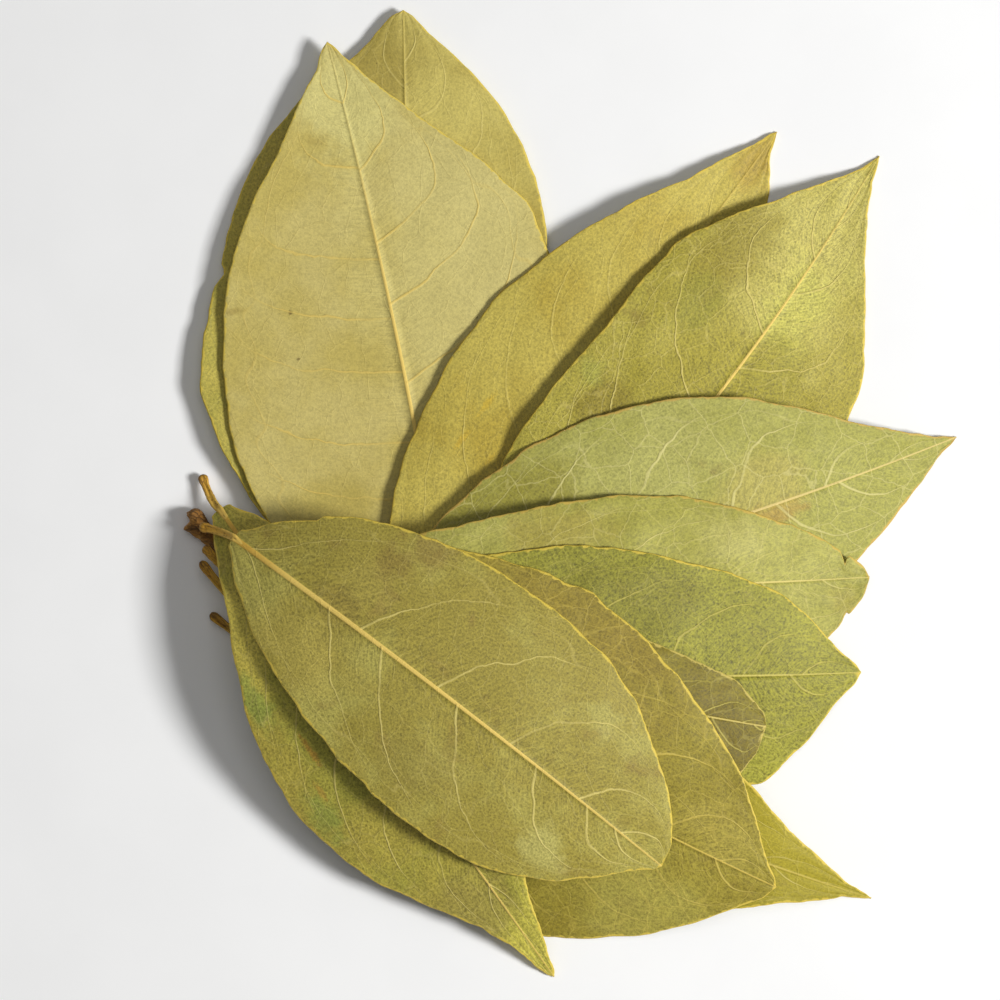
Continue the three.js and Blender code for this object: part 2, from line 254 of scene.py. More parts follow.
# bow: mm the midrib swings to the left; veins: where they leave the midrib, as a share of its length
leafShapes = {
    "leaf_01": {"bow": -0.9, "sweeps": (0.9, 0.9), "pucker": 0.07,
        "veins": ([0.08, 0.2, 0.33, 0.46, 0.58, 0.7, 0.82], [0.05, 0.16, 0.29, 0.42, 0.55, 0.68, 0.8]),
        "nicks": [(1, 0.69, 1.6, 1.6, 1.1)]},
    "leaf_02": {"bow": -0.4, "sweeps": (0.8, 0.8),
        "veins": ([0.08, 0.22, 0.36, 0.5, 0.64, 0.77, 0.88], [0.05, 0.18, 0.3, 0.43, 0.57, 0.7, 0.82])},
    "leaf_03": {"rib": 0.9, "bow": -1.3, "sweeps": (0.4, 0.9),
        "veins": (
            [0.05, 0.16, 0.26, 0.35, 0.465, 0.55, 0.645, 0.795, 0.9],
            [0.04, 0.17, 0.31, 0.445, 0.573, 0.672, 0.79, 0.9])},
    "leaf_04": {"bow": -0.9,
        "veins": ([0.06, 0.19, 0.32, 0.44, 0.57, 0.69, 0.81], [0.05, 0.16, 0.28, 0.41, 0.53, 0.66, 0.78])},
    "leaf_05": {"bow": -3.1, "pucker": 0.1, "crinkle": 0.16,
        "veins": ([0.05, 0.18, 0.31, 0.47, 0.65, 0.8], [0.06, 0.22, 0.4, 0.582, 0.73, 0.86])},
    "leaf_06": {"bow": -1.9, "sweeps": (0.85, 0.85), "pucker": 0.07,
        "veins": ([0.02, 0.11, 0.25, 0.425, 0.6, 0.765, 0.88], [0.05, 0.2, 0.36, 0.52, 0.68, 0.79, 0.9])},
    "leaf_07": {"bow": -1.2, "pucker": 0.14, "crinkle": 0.3,
        "veins": ([0.05, 0.2, 0.38, 0.56, 0.76, 0.9], [0.08, 0.26, 0.45, 0.64, 0.82]),
        "nicks": [(1, 0.959, 0.6, 0.4, 1.7), (-1, 0.962, 0.9, 0.4, 0.8), (-1, 0.915, 0.7, 0.4, 0.6)]},
    "leaf_08": {"bow": -1.9, "sweeps": (0.9, 0.9), "pucker": 0.07, "crinkle": 0.2,
        "veins": ([0.05, 0.2, 0.35, 0.5, 0.66, 0.8, 0.9], [0.04, 0.18, 0.33, 0.48, 0.62, 0.76, 0.88])},
    "leaf_09": {"bow": -3.3,
        "veins": ([0.06, 0.2, 0.36, 0.52, 0.68, 0.82], [0.05, 0.22, 0.38, 0.54, 0.7, 0.85])},
    "leaf_10": {"bow": -0.4, "pucker": 0.08,
        "veins": ([0.06, 0.2, 0.36, 0.54, 0.7, 0.84], [0.05, 0.22, 0.4, 0.58, 0.74, 0.87])},
    "leaf_11": {"bow": -1.9, "pucker": 0.08,
        "veins": ([0.04, 0.18, 0.34, 0.5, 0.65, 0.79, 0.9], [0.05, 0.2, 0.35, 0.5, 0.64, 0.78, 0.89])},
    "leaf_12": {"bow": 0.4, "sweeps": (1.1, 1.1), "pucker": 0.08,
        "veins": ([0.06, 0.2, 0.35, 0.5, 0.65, 0.8], [0.04, 0.14, 0.27, 0.4, 0.53, 0.67, 0.8])},
    "leaf_13": {"rib": 1, "bow": 0.8, "pucker": 0.06,
        "veins": ([0.03, 0.288, 0.465, 0.635, 0.8], [0.02, 0.22, 0.34, 0.515, 0.7, 0.82, 0.885]),
        "nicks": [(1, 0.103, 7, 0.4, 0.9)]},
}


def roughReach(leaf, shape, turn, s, side, seed):
    # the measured outline with the fine unevenness and the nicks of a dry margin
    reach = smoothAlong(leaf["turn"], leaf["reach"][side], turn)
    run = s * leaf["length"]
    calm = np.clip(np.minimum(run, leaf["length"] - run) / blade["evenEnds"], 0, 1)
    nibble = valueNoise(run / 1.7 + 9, side * 3.3 + run * 0, seed)
    nibble = nibble + 0.6 * valueNoise(run / 0.7, run * 0 + side, seed + 5)
    slow = valueNoise(run / 3.6 + side, 0 * run + 7, seed + 9)
    reach = reach + (blade["edgeNibble"] * nibble + blade["edgeSway"] * slow) * calm
    for nickSide, at, behind, ahead, deep in shape["nicks"]:
        if nickSide == side:
            gap = run - at * leaf["length"]
            reach = reach - deep * np.exp(-(gap / np.where(gap < 0, behind, ahead)) ** 2 * 2)
    return reach


def veinPlace(leaf, shape, s, q, side):
    # running number of the side veins at a point, and how many mm one number is across the veins
    sweep = shape["sweeps"][side < 0]
    starts = np.array(shape["veins"][side < 0])
    starts = np.concatenate([[starts[0] - 0.14], starts, [starts[-1] + 0.1, starts[-1] + 0.22]])
    origin = s - sweep * (blade["veinReach"] * q + blade["veinSweep"] * q ** 4)
    gaps = np.diff(starts)
    number = np.interp(origin, starts, np.arange(len(starts)))
    below = (origin - starts[0]) / gaps[0]
    number = np.where(origin < starts[0], below, number)
    middles = (starts[1:] + starts[:-1]) / 2
    gap = np.interp(origin, middles, gaps) * leaf["length"]
    rise = sweep * (blade["veinReach"] + 4 * blade["veinSweep"] * q ** 3)
    slope = rise * leaf["length"] / measure["usualHalf"]
    return number, gap / np.sqrt(1 + slope ** 2)


def bladeColumns():
    # sideways places from the right margin to the left one: rib part and side part of each column
    rib = np.sin(np.linspace(-0.5, 0.5, 2 * blade["ribColumns"] + 1) * math.pi)
    side = 1 - (1 - np.linspace(0, 1, blade["sideColumns"] + 1)[1:]) ** blade["crowding"]
    ribPart = np.concatenate([-np.ones(len(side)), rib, np.ones(len(side))])
    sidePart = np.concatenate([-side[::-1], np.zeros(len(rib)), side])
    return ribPart, sidePart


def leafHeight(leaf, bow):
    # least squares fit of the bending terms to the blade's CAD vertices
    place, points = leaf["place"], leaf["points"]
    s = place[:, 0] / leaf["length"]
    mid = 4 * bow * s * (1 - s)
    turn = np.arccos(np.clip(1 - 2 * s, -1, 1))
    leftReach, rightReach = (
        np.maximum(smoothAlong(leaf["turn"], leaf["reach"][side], turn) - side * mid, 0.4)
        for side in (1, -1))
    offset = place[:, 1] - mid
    t = np.clip(np.where(offset > 0, offset / leftReach, offset / rightReach), -1, 1)
    chosen = (s > 0.004) & (s < 0.999) & (np.abs(t) > 0.12)
    terms = heightTerms(s[chosen], place[chosen, 1] / measure["sideUnit"], t[chosen])
    amounts, *_ = np.linalg.lstsq(terms, points[chosen, 2], rcond=None)
    miss = np.abs(terms @ amounts - points[chosen, 2])
    return amounts, miss.max()


def stalkPath(leaf, heightAt, bow):
    # smooth line through the CAD stalk, from its foot into the blade
    points, place = leaf["points"], leaf["place"]
    behind = (place[:, 0] < 0.6) & (np.abs(place[:, 1]) < 25)
    near = points[behind]
    away = np.linalg.norm(near[:, :2] - leaf["base"], axis=1)
    atFoot = np.linalg.norm(points[:, :2] - leaf["foot"], axis=1) < 1.9
    footPoint = points[atFoot].mean(0)
    reach = np.linalg.norm(footPoint[:2] - leaf["base"])
    weights = np.stack([away, away ** 2, away ** 3], 1)
    start = np.array([*leaf["base"], heightAt(np.array([0.004]), np.array([0.0]), np.array([0.0]))[0]])
    shares, *_ = np.linalg.lstsq(weights, near - start, rcond=None)
    line = []
    for d in np.linspace(1, 0, 15) * reach:
        line.append(start + np.array([d, d * d, d ** 3]) @ shares)
    for s, sink in ((0.008, 0.03), (0.018, 0.1), (0.03, 0.22), (0.045, 0.4)):
        mid = 4 * bow * s * (1 - s)
        xy = leaf["base"] + leaf["along"] * s * leaf["length"] + leaf["left"] * mid
        z = heightAt(np.array([s]), np.array([mid / measure["sideUnit"]]), np.array([0.0]))[0]
        line.append(np.array([*xy, z - sink]))
    return np.array(line)


def tubeGrid(line, halfWidth, halfDepth, groove, sides):
    # rings across a line, wide along the floor, with a groove along the top
    ahead = np.gradient(line, axis=0)
    flat = ahead[:, :2] / np.maximum(np.linalg.norm(ahead[:, :2], axis=1), 1e-6)[:, None]
    right = np.stack([flat[:, 1], -flat[:, 0], np.zeros(len(line))], 1)
    along = ahead / np.linalg.norm(ahead, axis=1)[:, None]
    up = np.cross(right, along)
    angle = np.arange(sides) / sides * 2 * math.pi
    hollow = np.exp(-((angle - math.pi / 2) / stalk["grooveSpread"]) ** 2)
    rings = []
    for k in range(len(line)):
        rise = np.sin(angle) - groove[k] * hollow
        rings.append(line[k] + np.outer(np.cos(angle) * halfWidth[k], right[k])
                     + np.outer(rise * halfDepth[k], up[k]))
    return np.array(rings), hollow


def tubeFaces(rows, sides, start):
    # between the rings of a tube, and one over each end
    i, j = np.meshgrid(np.arange(rows - 1), np.arange(sides), indexing="ij")
    ahead = (j + 1) % sides
    quads = np.stack([i * sides + ahead, (i + 1) * sides + ahead, (i + 1) * sides + j, i * sides + j], -1)
    faces = (quads.reshape(-1, 4) + start).tolist()
    faces.append([start + k for k in range(sides)])
    faces.append([start + (rows - 1) * sides + k for k in reversed(range(sides))])
    return faces


def shapeBlade(name, number, pile, twigMiddle):
    shape = {**plainShape, **leafShapes[name]}
    leaf = measureLeaf(name, twigMiddle)
    bow = shape["bow"]
    amounts, miss = leafHeight(leaf, bow)

    def heightAt(s, side, t):
        return heightTerms(s, side, t) @ amounts

    rows = blade["rows"]
    turn = np.linspace(blade["firstTurn"], math.pi - blade["lastTurn"], rows)[:, None]
    s = (1 - np.cos(turn)) / 2
    ribPart, sidePart = bladeColumns()
    sideways = np.sign(sidePart + 0.5 * ribPart)[None, :]
    mid = 4 * bow * s * (1 - s)
    reaches = []
    for side, seed in ((1, number), (-1, number + 40)):
        reach = roughReach(leaf, shape, turn[:, 0], s[:, 0], side, seed)[:, None] - side * mid
        reaches.append(np.maximum(reach, blade["leastReach"]))
    ribHalf = blade["ribHalf"] * shape["rib"] * (1 - blade["ribTaper"] * s)
    ribHalf = np.minimum(ribHalf, 0.6 * np.minimum(*reaches))
    reach = np.where(sideways > 0, *reaches)
    offset = ribHalf * ribPart[None, :] + (reach - ribHalf) * sidePart[None, :]
    across = mid + offset
    q = np.clip(np.abs(offset) / reach, 0, 1)
    along = s * leaf["length"] + 0 * across
    edgeGap = reach - np.abs(offset)
    edgeGap = np.minimum(edgeGap, (1 - s) * leaf["length"] * 0.6 + 0.02)

    wave = valueNoise(along / 9 + 3, 0 * along + 2 * sideways, number + 70) * q ** 4
    ripple = valueNoise(along / 7, across / 7 + 5, number + 90)
    left, right = (veinPlace(leaf, shape, s + 0 * across, q, side) for side in (1, -1))
    phase = np.where(sideways > 0, left[0], right[0])
    spacing = np.where(sideways > 0, left[1], right[1])
    between = 1 - np.abs(phase - np.round(phase)) * 2
    quilt = blade["quilt"] * (1 - between ** 2) * np.sin(math.pi * np.clip(q, 0, 1)) ** 0.7
    z = heightAt(s + 0 * across, across / measure["sideUnit"], sideways * q)
    z = z + blade["edgeWave"] * wave + quilt - blade["quilt"] * 0.5 + blade["ripple"] * ripple
    pucker = valueNoise(along / 2.3, across / 2.3 + 11, number + 120)
    pucker = pucker + 0.5 * valueNoise(along, across, number + 130)
    crinkle = valueNoise(along / 5.5 + 4, across / 5.5, number + 140)
    z = z + (shape["pucker"] * pucker + shape["crinkle"] * crinkle) * np.clip(q * 4, 0, 1)

    plan = leaf["base"] + along[..., None] * leaf["along"] + across[..., None] * leaf["left"]
    x, y = plan[..., 0], plan[..., 1]
    thick = blade["halfThickness"] * np.sqrt(np.clip(edgeGap / blade["thinMargin"], 0, 1))
    crest = np.sqrt(np.clip(1 - (offset / np.maximum(ribHalf, 1e-6)) ** 2, 0, 1))
    crest = crest * (1 - blade["ribSink"] * s)
    top = thick + crest * blade["ribTop"]
    under = thick + crest * blade["ribUnder"]
    need = pile.under(x, y) + blade["clearance"] + under
    for _ in range(3):
        z = z + blurGrid(np.maximum(need - z, 0), 6)
    z = np.maximum(z, need)
    z = np.maximum(blurGrid(z, 2), need)
    pile.lay(x, y, z + top)

    # both faces share their margin vertices
    columns = across.shape[1]
    upper = np.stack([x, y, z + top], -1).reshape(-1, 3)
    lower = np.stack([x, y, z - under], -1)[:, 1:-1].reshape(-1, 3)
    upperIds = np.arange(rows * columns).reshape(rows, columns)
    lowerIds = rows * columns + np.arange(rows * (columns - 2)).reshape(rows, columns - 2)
    lowerIds = np.concatenate([upperIds[:, :1], lowerIds, upperIds[:, -1:]], 1)
    faces = []
    for ids, turned in ((upperIds, True), (lowerIds, False)):
        quad = np.stack([ids[:-1, :-1], ids[1:, :-1], ids[1:, 1:], ids[:-1, 1:]], -1).reshape(-1, 4)
        faces += (quad if not turned else quad[:, ::-1]).tolist()
    for row in (0, -1):
        for j in range(columns - 1):
            corners = [upperIds[row, j], upperIds[row, j + 1], lowerIds[row, j + 1], lowerIds[row, j]]
            faces.append(list(dict.fromkeys(int(corner) for corner in corners)))
    return leaf, upper, lower, faces, {
        "place": np.stack([along, across, 0 * along + number * seedStep], -1),
        "veins": np.stack([phase, q, spacing], -1),
        "edges": np.stack([edgeGap, np.abs(offset), ribHalf + 0 * along], -1),
        "miss": miss, "heightAt": heightAt, "bow": bow,
    }


stalk = {
    "sides": 24, "halfWidth": 0.62, "halfDepth": 0.5,  # mm
    "groove": 0.75, "grooveSpread": 0.5,  # share of the half depth, and radians
    "grooves": ([0.04, 0.2, 0.7, 0.9], [0.3, 1, 1, 0]),  # along the stalk, as shares
    "widths": ([0, 0.02, 0.06, 0.12, 0.25, 0.7, 1], [0.45, 0.9, 1.2, 1.22, 1.0, 0.98, 0.7]),
    "floorGap": 0.02,  # mm, the least height
}
seedStep = 31.7  # how far apart the leaves stand in the noise


def makeLeaf(name, number, pile, twigMiddle, material):
    leaf, upper, lower, faces, marks = shapeBlade(name, number, pile, twigMiddle)
    path = stalkPath(leaf, marks["heightAt"], marks["bow"])
    share = np.concatenate([[0, 0.01, 0.03], np.linspace(0.06, 1, 26)])
    spots = np.linspace(0, 1, len(path))
    line = np.stack([np.interp(share, spots, path[:, k]) for k in range(3)], 1)
    count, sides = len(line), stalk["sides"]
    lumps = 1 + 0.07 * valueNoise(share * 9, 0 * share, number + 11)
    lumps = lumps + 0.05 * valueNoise(share * 25, 0 * share, number)
    taper = np.interp(share, *stalk["widths"]) * lumps
    groove = stalk["groove"] * np.interp(share, *stalk["grooves"])
    rings, hollow = tubeGrid(line, stalk["halfWidth"] * taper, stalk["halfDepth"] * taper, groove, sides)
    rings[..., 2] = np.maximum(rings[..., 2], stalk["floorGap"])
    start = len(upper) + len(lower)
    points = np.concatenate([upper, lower, rings.reshape(-1, 3)])
    faces = faces + tubeFaces(count, sides, start)
    piece = makeObject(name + "_dried", points, faces, material, name)

    def both(grid, tube):
        # the same marks on the upper and the lower face, then those of the stalk
        return np.concatenate([grid.reshape(-1, 3), grid[:, 1:-1].reshape(-1, 3), tube.reshape(-1, 3)])

    turn = np.tile(np.sin(np.arange(sides) / sides * math.pi) * 3, (count, 1))
    run = np.tile((share * 9)[:, None], (1, sides))
    flat = np.ones((count, sides))
    addVectors(piece, "place", both(marks["place"], np.stack([run, turn, flat * number * seedStep], -1)))
    addVectors(piece, "veins", both(marks["veins"], np.stack([flat * 0.5, flat * 0, flat * 9], -1)))
    addVectors(piece, "edges", both(marks["edges"], np.stack([flat * 3, flat * 0, flat * 0.6], -1)))
    stalkShare = np.concatenate([np.zeros(start), np.tile((1 - share)[:, None], (1, sides)).ravel()])
    underShare = np.concatenate([np.zeros(len(upper)), np.ones(len(lower)), np.zeros(count * sides)])
    grooveShare = np.concatenate([np.zeros(start), (groove[:, None] * hollow[None, :]).ravel()])
    addVectors(piece, "sides", np.stack([stalkShare, underShare, grooveShare], -1))
    print(name, "length", round(float(leaf["length"]), 2), "fit miss", round(float(marks["miss"]), 2))


def feed(tree, item, inputs):
    # constants go on the socket itself, the rest is linked
    for key, value in inputs.items():
        if isinstance(value, bpy.types.NodeSocket):
            tree.links.new(value, item.inputs[key])
        else:
            item.inputs[key].default_value = value


def put(tree, kind, inputs=None, **settings):
    item = tree.nodes.new("ShaderNode" + kind)
    for key, value in settings.items():
        setattr(item, key, value)
    feed(tree, item, inputs or {})
    return item


def maths(tree, operation, a, b=0.0, c=0.0):
    return put(tree, "Math", {0: a, 1: b, 2: c}, operation=operation).outputs[0]


def times(tree, a, b):
    return maths(tree, "MULTIPLY", a, b)


def plus(tree, a, b):
    return maths(tree, "ADD", a, b)


def minus(tree, a, b):
    return maths(tree, "SUBTRACT", a, b)


def sumOf(tree, a, factor, b):
    # a times the factor, plus b
    return maths(tree, "MULTIPLY_ADD", a, factor, b)


def inverse(tree, a):
    return maths(tree, "DIVIDE", 1, a)


def fade(tree, value, start, end, low=0.0, high=1.0):
    inputs = {"Value": value, "From Min": start, "From Max": end, "To Min": low, "To Max": high}
    return put(tree, "MapRange", inputs, interpolation_type="SMOOTHSTEP").outputs["Result"]


def blend(tree, share, a, b, mode="MIX"):
    return put(tree, "Mix", {0: share, 6: a, 7: b}, data_type="RGBA", blend_type=mode).outputs[2]


def scaled(tree, vector, amount):
    return put(tree, "VectorMath", {0: vector, 3: amount}, operation="SCALE").outputs[0]


def split(tree, vector):
    return put(tree, "SeparateXYZ", {0: vector}).outputs[:]


def marking(tree, name):
    return put(tree, "Attribute", attribute_name=name).outputs["Vector"]


def noise(tree, vector, scale, detail=2.0, roughness=0.5):
    inputs = {"Vector": vector, "Scale": scale, "Detail": detail, "Roughness": roughness}
    return put(tree, "TexNoise", inputs).outputs


def shifted(tree, vector, shift, amount):
    inputs = {0: shift, 1: (amount, amount, amount), 2: vector}
    return put(tree, "VectorMath", inputs, operation="MULTIPLY_ADD").outputs[0]


def cells(tree, vector, rate, feature="DISTANCE_TO_EDGE"):
    return put(tree, "TexVoronoi", {"Vector": vector, "Scale": rate}, feature=feature).outputs


def netGap(tree, vector, size):
    # distance in mm to the nearest line of an irregular net
    return times(tree, cells(tree, vector, inverse(tree, size))["Distance"], size)


def startGroup(name, vectors, numbers, results):
    # a node group with its sockets named in three lists: vectors and numbers in, numbers out
    group = bpy.data.node_groups.new(name, "ShaderNodeTree")
    kinds = ("INPUT", "Vector", vectors), ("INPUT", "Float", numbers), ("OUTPUT", "Float", results)
    for way, kind, names in kinds:
        for socketName in names.split():
            group.interface.new_socket(name=socketName, in_out=way, socket_type="NodeSocket" + kind)
    return group, group.nodes.new("NodeGroupInput").outputs, group.nodes.new("NodeGroupOutput")


def use(tree, effect, **inputs):
    item = tree.nodes.new("ShaderNodeGroup")
    item.node_tree = effects[effect]
    feed(tree, item, inputs)
    return item.outputs


def veinGroup():
    # side veins that loop near the margin, and the net between them; sizes in mm
    tree, given, result = startGroup(
        "leafVeins", "Place Veins Edges", "Width NetSize", "Rib Vein Net Height")
    phase, q, spacing = split(tree, given["Veins"])
    ribGap, ribHalf = split(tree, given["Edges"])[1:]
    wander = minus(tree, noise(tree, given["Place"], 0.17, 3)[0], 0.5)
    wander = times(tree, wander, fade(tree, q, 0, 0.35, 0, 0.26))
    moved = plus(tree, phase, wander)
    apart = maths(tree, "ABSOLUTE", minus(tree, moved, maths(tree, "ROUND", moved)))
    gap = times(tree, apart, spacing)
    width = times(tree, given["Width"], fade(tree, q, 0, 1, 1, 0.45))
    vein = fade(tree, gap, times(tree, width, 0.2), width, 1, 0)
    vein = times(tree, vein, fade(tree, q, 0.66, 0.93, 1, 0.1))
    swing = maths(tree, "COSINE", times(tree, moved, 2 * math.pi))
    loopPlace = plus(tree, sumOf(tree, swing, -0.035, 0.84), times(tree, wander, 0.12))
    loopGap = times(tree, maths(tree, "ABSOLUTE", minus(tree, q, loopPlace)), 16)
    vein = maths(tree, "MAXIMUM", vein, fade(tree, loopGap, 0.03, 0.17, 0.34, 0))
    clear = fade(tree, noise(tree, given["Place"], 0.12)[0], 0.35, 0.62, 0.45, 1)
    vein = times(tree, vein, clear)
    bent = shifted(tree, given["Place"], noise(tree, given["Place"], 0.5, 3)["Color"], 1.1)
    coarse = fade(tree, netGap(tree, bent, given["NetSize"]), 0.02, 0.13, 1, 0)
    fine = fade(tree, netGap(tree, bent, times(tree, given["NetSize"], 0.36)), 0.01, 0.08, 0.34, 0)
    net = maths(tree, "MAXIMUM", coarse, fine)
    rib = fade(tree, ribGap, times(tree, ribHalf, 0.7), times(tree, ribHalf, 1.15), 1, 0)
    feed(tree, result, {"Rib": rib, "Vein": vein, "Net": net, "Height": sumOf(tree, net, 0.3, vein)})
    return tree


def grainGroup():
    # dry skin: fine mottling, streaks along the side veins, and a faint net of the smallest veins
    tree, given, result = startGroup("leafGrain", "Place Veins Edges", "Cell", "Tone Height")
    rate = inverse(tree, given["Cell"])
    fine = noise(tree, given["Place"], rate, 3, 0.75)[0]
    lines = netGap(tree, given["Place"], times(tree, given["Cell"], 1.3))
    lines = fade(tree, lines, 0, times(tree, given["Cell"], 0.4), 1, 0)
    phase, q = split(tree, given["Veins"])[:2]
    streakPlace = {0: times(tree, phase, 34), 1: times(tree, q, 9)}
    streak = noise(tree, put(tree, "CombineXYZ", streakPlace).outputs[0], 1, 2, 0.6)[0]
    near = fade(tree, split(tree, given["Edges"])[1], 0.5, 9, 1, 0.35)
    streak = times(tree, minus(tree, streak, 0.5), near)
    tone = sumOf(tree, streak, 0.8, sumOf(tree, lines, 0.1, fine))
    feed(tree, result, {"Tone": tone, "Height": sumOf(tree, lines, 0.3, fine)})
    return tree


def blotchGroup():
    # soft patches that cover a share of the leaf
    tree, given, result = startGroup("leafBlotches", "Place", "Size Cover Softness", "Mask")
    cloud = noise(tree, given["Place"], inverse(tree, given["Size"]), 4, 0.58)[0]
    edge = sumOf(tree, given["Cover"], -0.5, 0.75)
    low, high = (way(tree, edge, given["Softness"]) for way in (minus, plus))
    feed(tree, result, {"Mask": fade(tree, cloud, low, high)})
    return tree


def patchGroup():
    # one uneven patch at a chosen place on the leaf, in mm from its base and from its middle line
    tree, given, result = startGroup("leafPatch", "Place", "Along Across Size Stretch", "Mask")
    x, y = split(tree, given["Place"])[:2]
    dx = maths(tree, "DIVIDE", minus(tree, x, given["Along"]), given["Stretch"])
    dy = minus(tree, y, given["Across"])
    away = maths(tree, "SQRT", plus(tree, times(tree, dx, dx), times(tree, dy, dy)))
    rate = maths(tree, "DIVIDE", 1.3, given["Size"])
    uneven = minus(tree, noise(tree, given["Place"], rate, 4, 0.6)[0], 0.5)
    away = plus(tree, away, times(tree, times(tree, uneven, given["Size"]), 1.6))
    mask = fade(tree, away, times(tree, given["Size"], 0.3), given["Size"], 1, 0)
    feed(tree, result, {"Mask": mask})
    return tree


def speckGroup():
    # scattered small spots; share is how many of the cells hold one
    tree, given, result = startGroup("leafSpecks", "Place", "Spread Radius Share", "Mask")
    found = cells(tree, given["Place"], inverse(tree, given["Spread"]), "F1")
    reach = times(tree, found["Distance"], given["Spread"])
    pick, sized = split(tree, found["Color"])[:2]
    size = times(tree, given["Radius"], plus(tree, sized, 0.4))
    spot = fade(tree, reach, times(tree, size, 0.4), size, 1, 0)
    feed(tree, result, {"Mask": times(tree, spot, maths(tree, "LESS_THAN", pick, given["Share"]))})
    return tree


def rimGroup():
    # the thin hard line round a leaf, of uneven width
    tree, given, result = startGroup("leafRim", "Place Edges", "Width", "Mask")
    edgeGap = split(tree, given["Edges"])[0]
    uneven = fade(tree, noise(tree, given["Place"], 0.9, 3)[0], 0.32, 0.68, 0.35, 1.5)
    width = times(tree, given["Width"], uneven)
    mask = fade(tree, edgeGap, times(tree, width, 0.5), width, 1, 0)
    feed(tree, result, {"Mask": mask})
    return tree


def barkGroup():
    # wrinkled bark: cracks, uneven tone and pale scars
    tree, given, result = startGroup("barkWrinkles", "Place", "Size", "Tone Scar Height")
    rate = inverse(tree, given["Size"])
    drawn = {0: given["Place"], 1: (0.3, 1, 1)}
    drawn = put(tree, "VectorMath", drawn, operation="MULTIPLY").outputs[0]
    drawn = shifted(tree, drawn, noise(tree, given["Place"], times(tree, rate, 2))["Color"], 0.4)
    coarse = noise(tree, drawn, rate, 5, 0.7)[0]
    crack = fade(tree, cells(tree, drawn, times(tree, rate, 1.9))["Distance"], 0, 0.14)
    scar = noise(tree, given["Place"], times(tree, rate, 0.5))[0]
    tone = times(tree, coarse, sumOf(tree, crack, 0.3, 0.7))
    scar = fade(tree, scar, 0.55, 0.7)
    feed(tree, result, {"Tone": tone, "Scar": scar, "Height": sumOf(tree, crack, 0.6, coarse)})
    return tree


effects = {
    "veins": veinGroup(), "grain": grainGroup(), "blotches": blotchGroup(), "patch": patchGroup(),
    "specks": speckGroup(), "rim": rimGroup(), "bark": barkGroup(),
}
print("shared effects built:", len(effects))


def paint(colour, shade=1.0):
    # a screen colour, 0 to 255, as the shader wants it
    return tuple(((c * shade / 255 + 0.055) / 1.055) ** 2.4 for c in colour) + (1,)


# colours are 0 to 255
# patches: mm from the base, mm left of the middle line, size in mm, stretch, colour, share
plainLeaf = {
    "brown": (132, 108, 50), "vein": (218, 201, 116), "rib": (236, 204, 106), "rim": (224, 197, 78),
    "under": (172, 168, 106), "speck": (84, 66, 26), "heel": (208, 158, 44), "freckle": (92, 60, 24),
    "stalkDark": (86, 56, 16), "stalkPale": (206, 152, 44), "foot": (62, 40, 20),
    "secondSize": 22, "secondCover": 0.5, "brownSize": 10, "brownCover": 0.1,  # mm, share
    "veinWidth": 0.27, "netSize": 4.4, "rimWidth": 0.4, "grainCell": 0.4, "barkSize": 1.3,  # mm
    "veinShow": 0.75, "netShow": 0.14, "rimShow": 0.8, "ribShow": 0.95, "underShow": 0.75,
    "brownShow": 0.6, "speckShow": 0.5, "freckleShow": 0.7,
    "specks": {"Spread": 2.6, "Radius": 0.2}, "speckShare": 0.12,  # mm, share of the cells
    "freckles": {"Spread": 0.55, "Radius": 0.24, "Share": 0.5},
    "ribFade": (50, 95, 0.7),  # from mm, to mm, share left there
    "heelFade": (1, 13, 0.7),  # from mm, to mm, share at the start
    "roughness": 0.6, "grain": 0.6, "relief": 0.55, "reliefDepth": 0.12, "ior": 1.42,
    "patches": [],
}

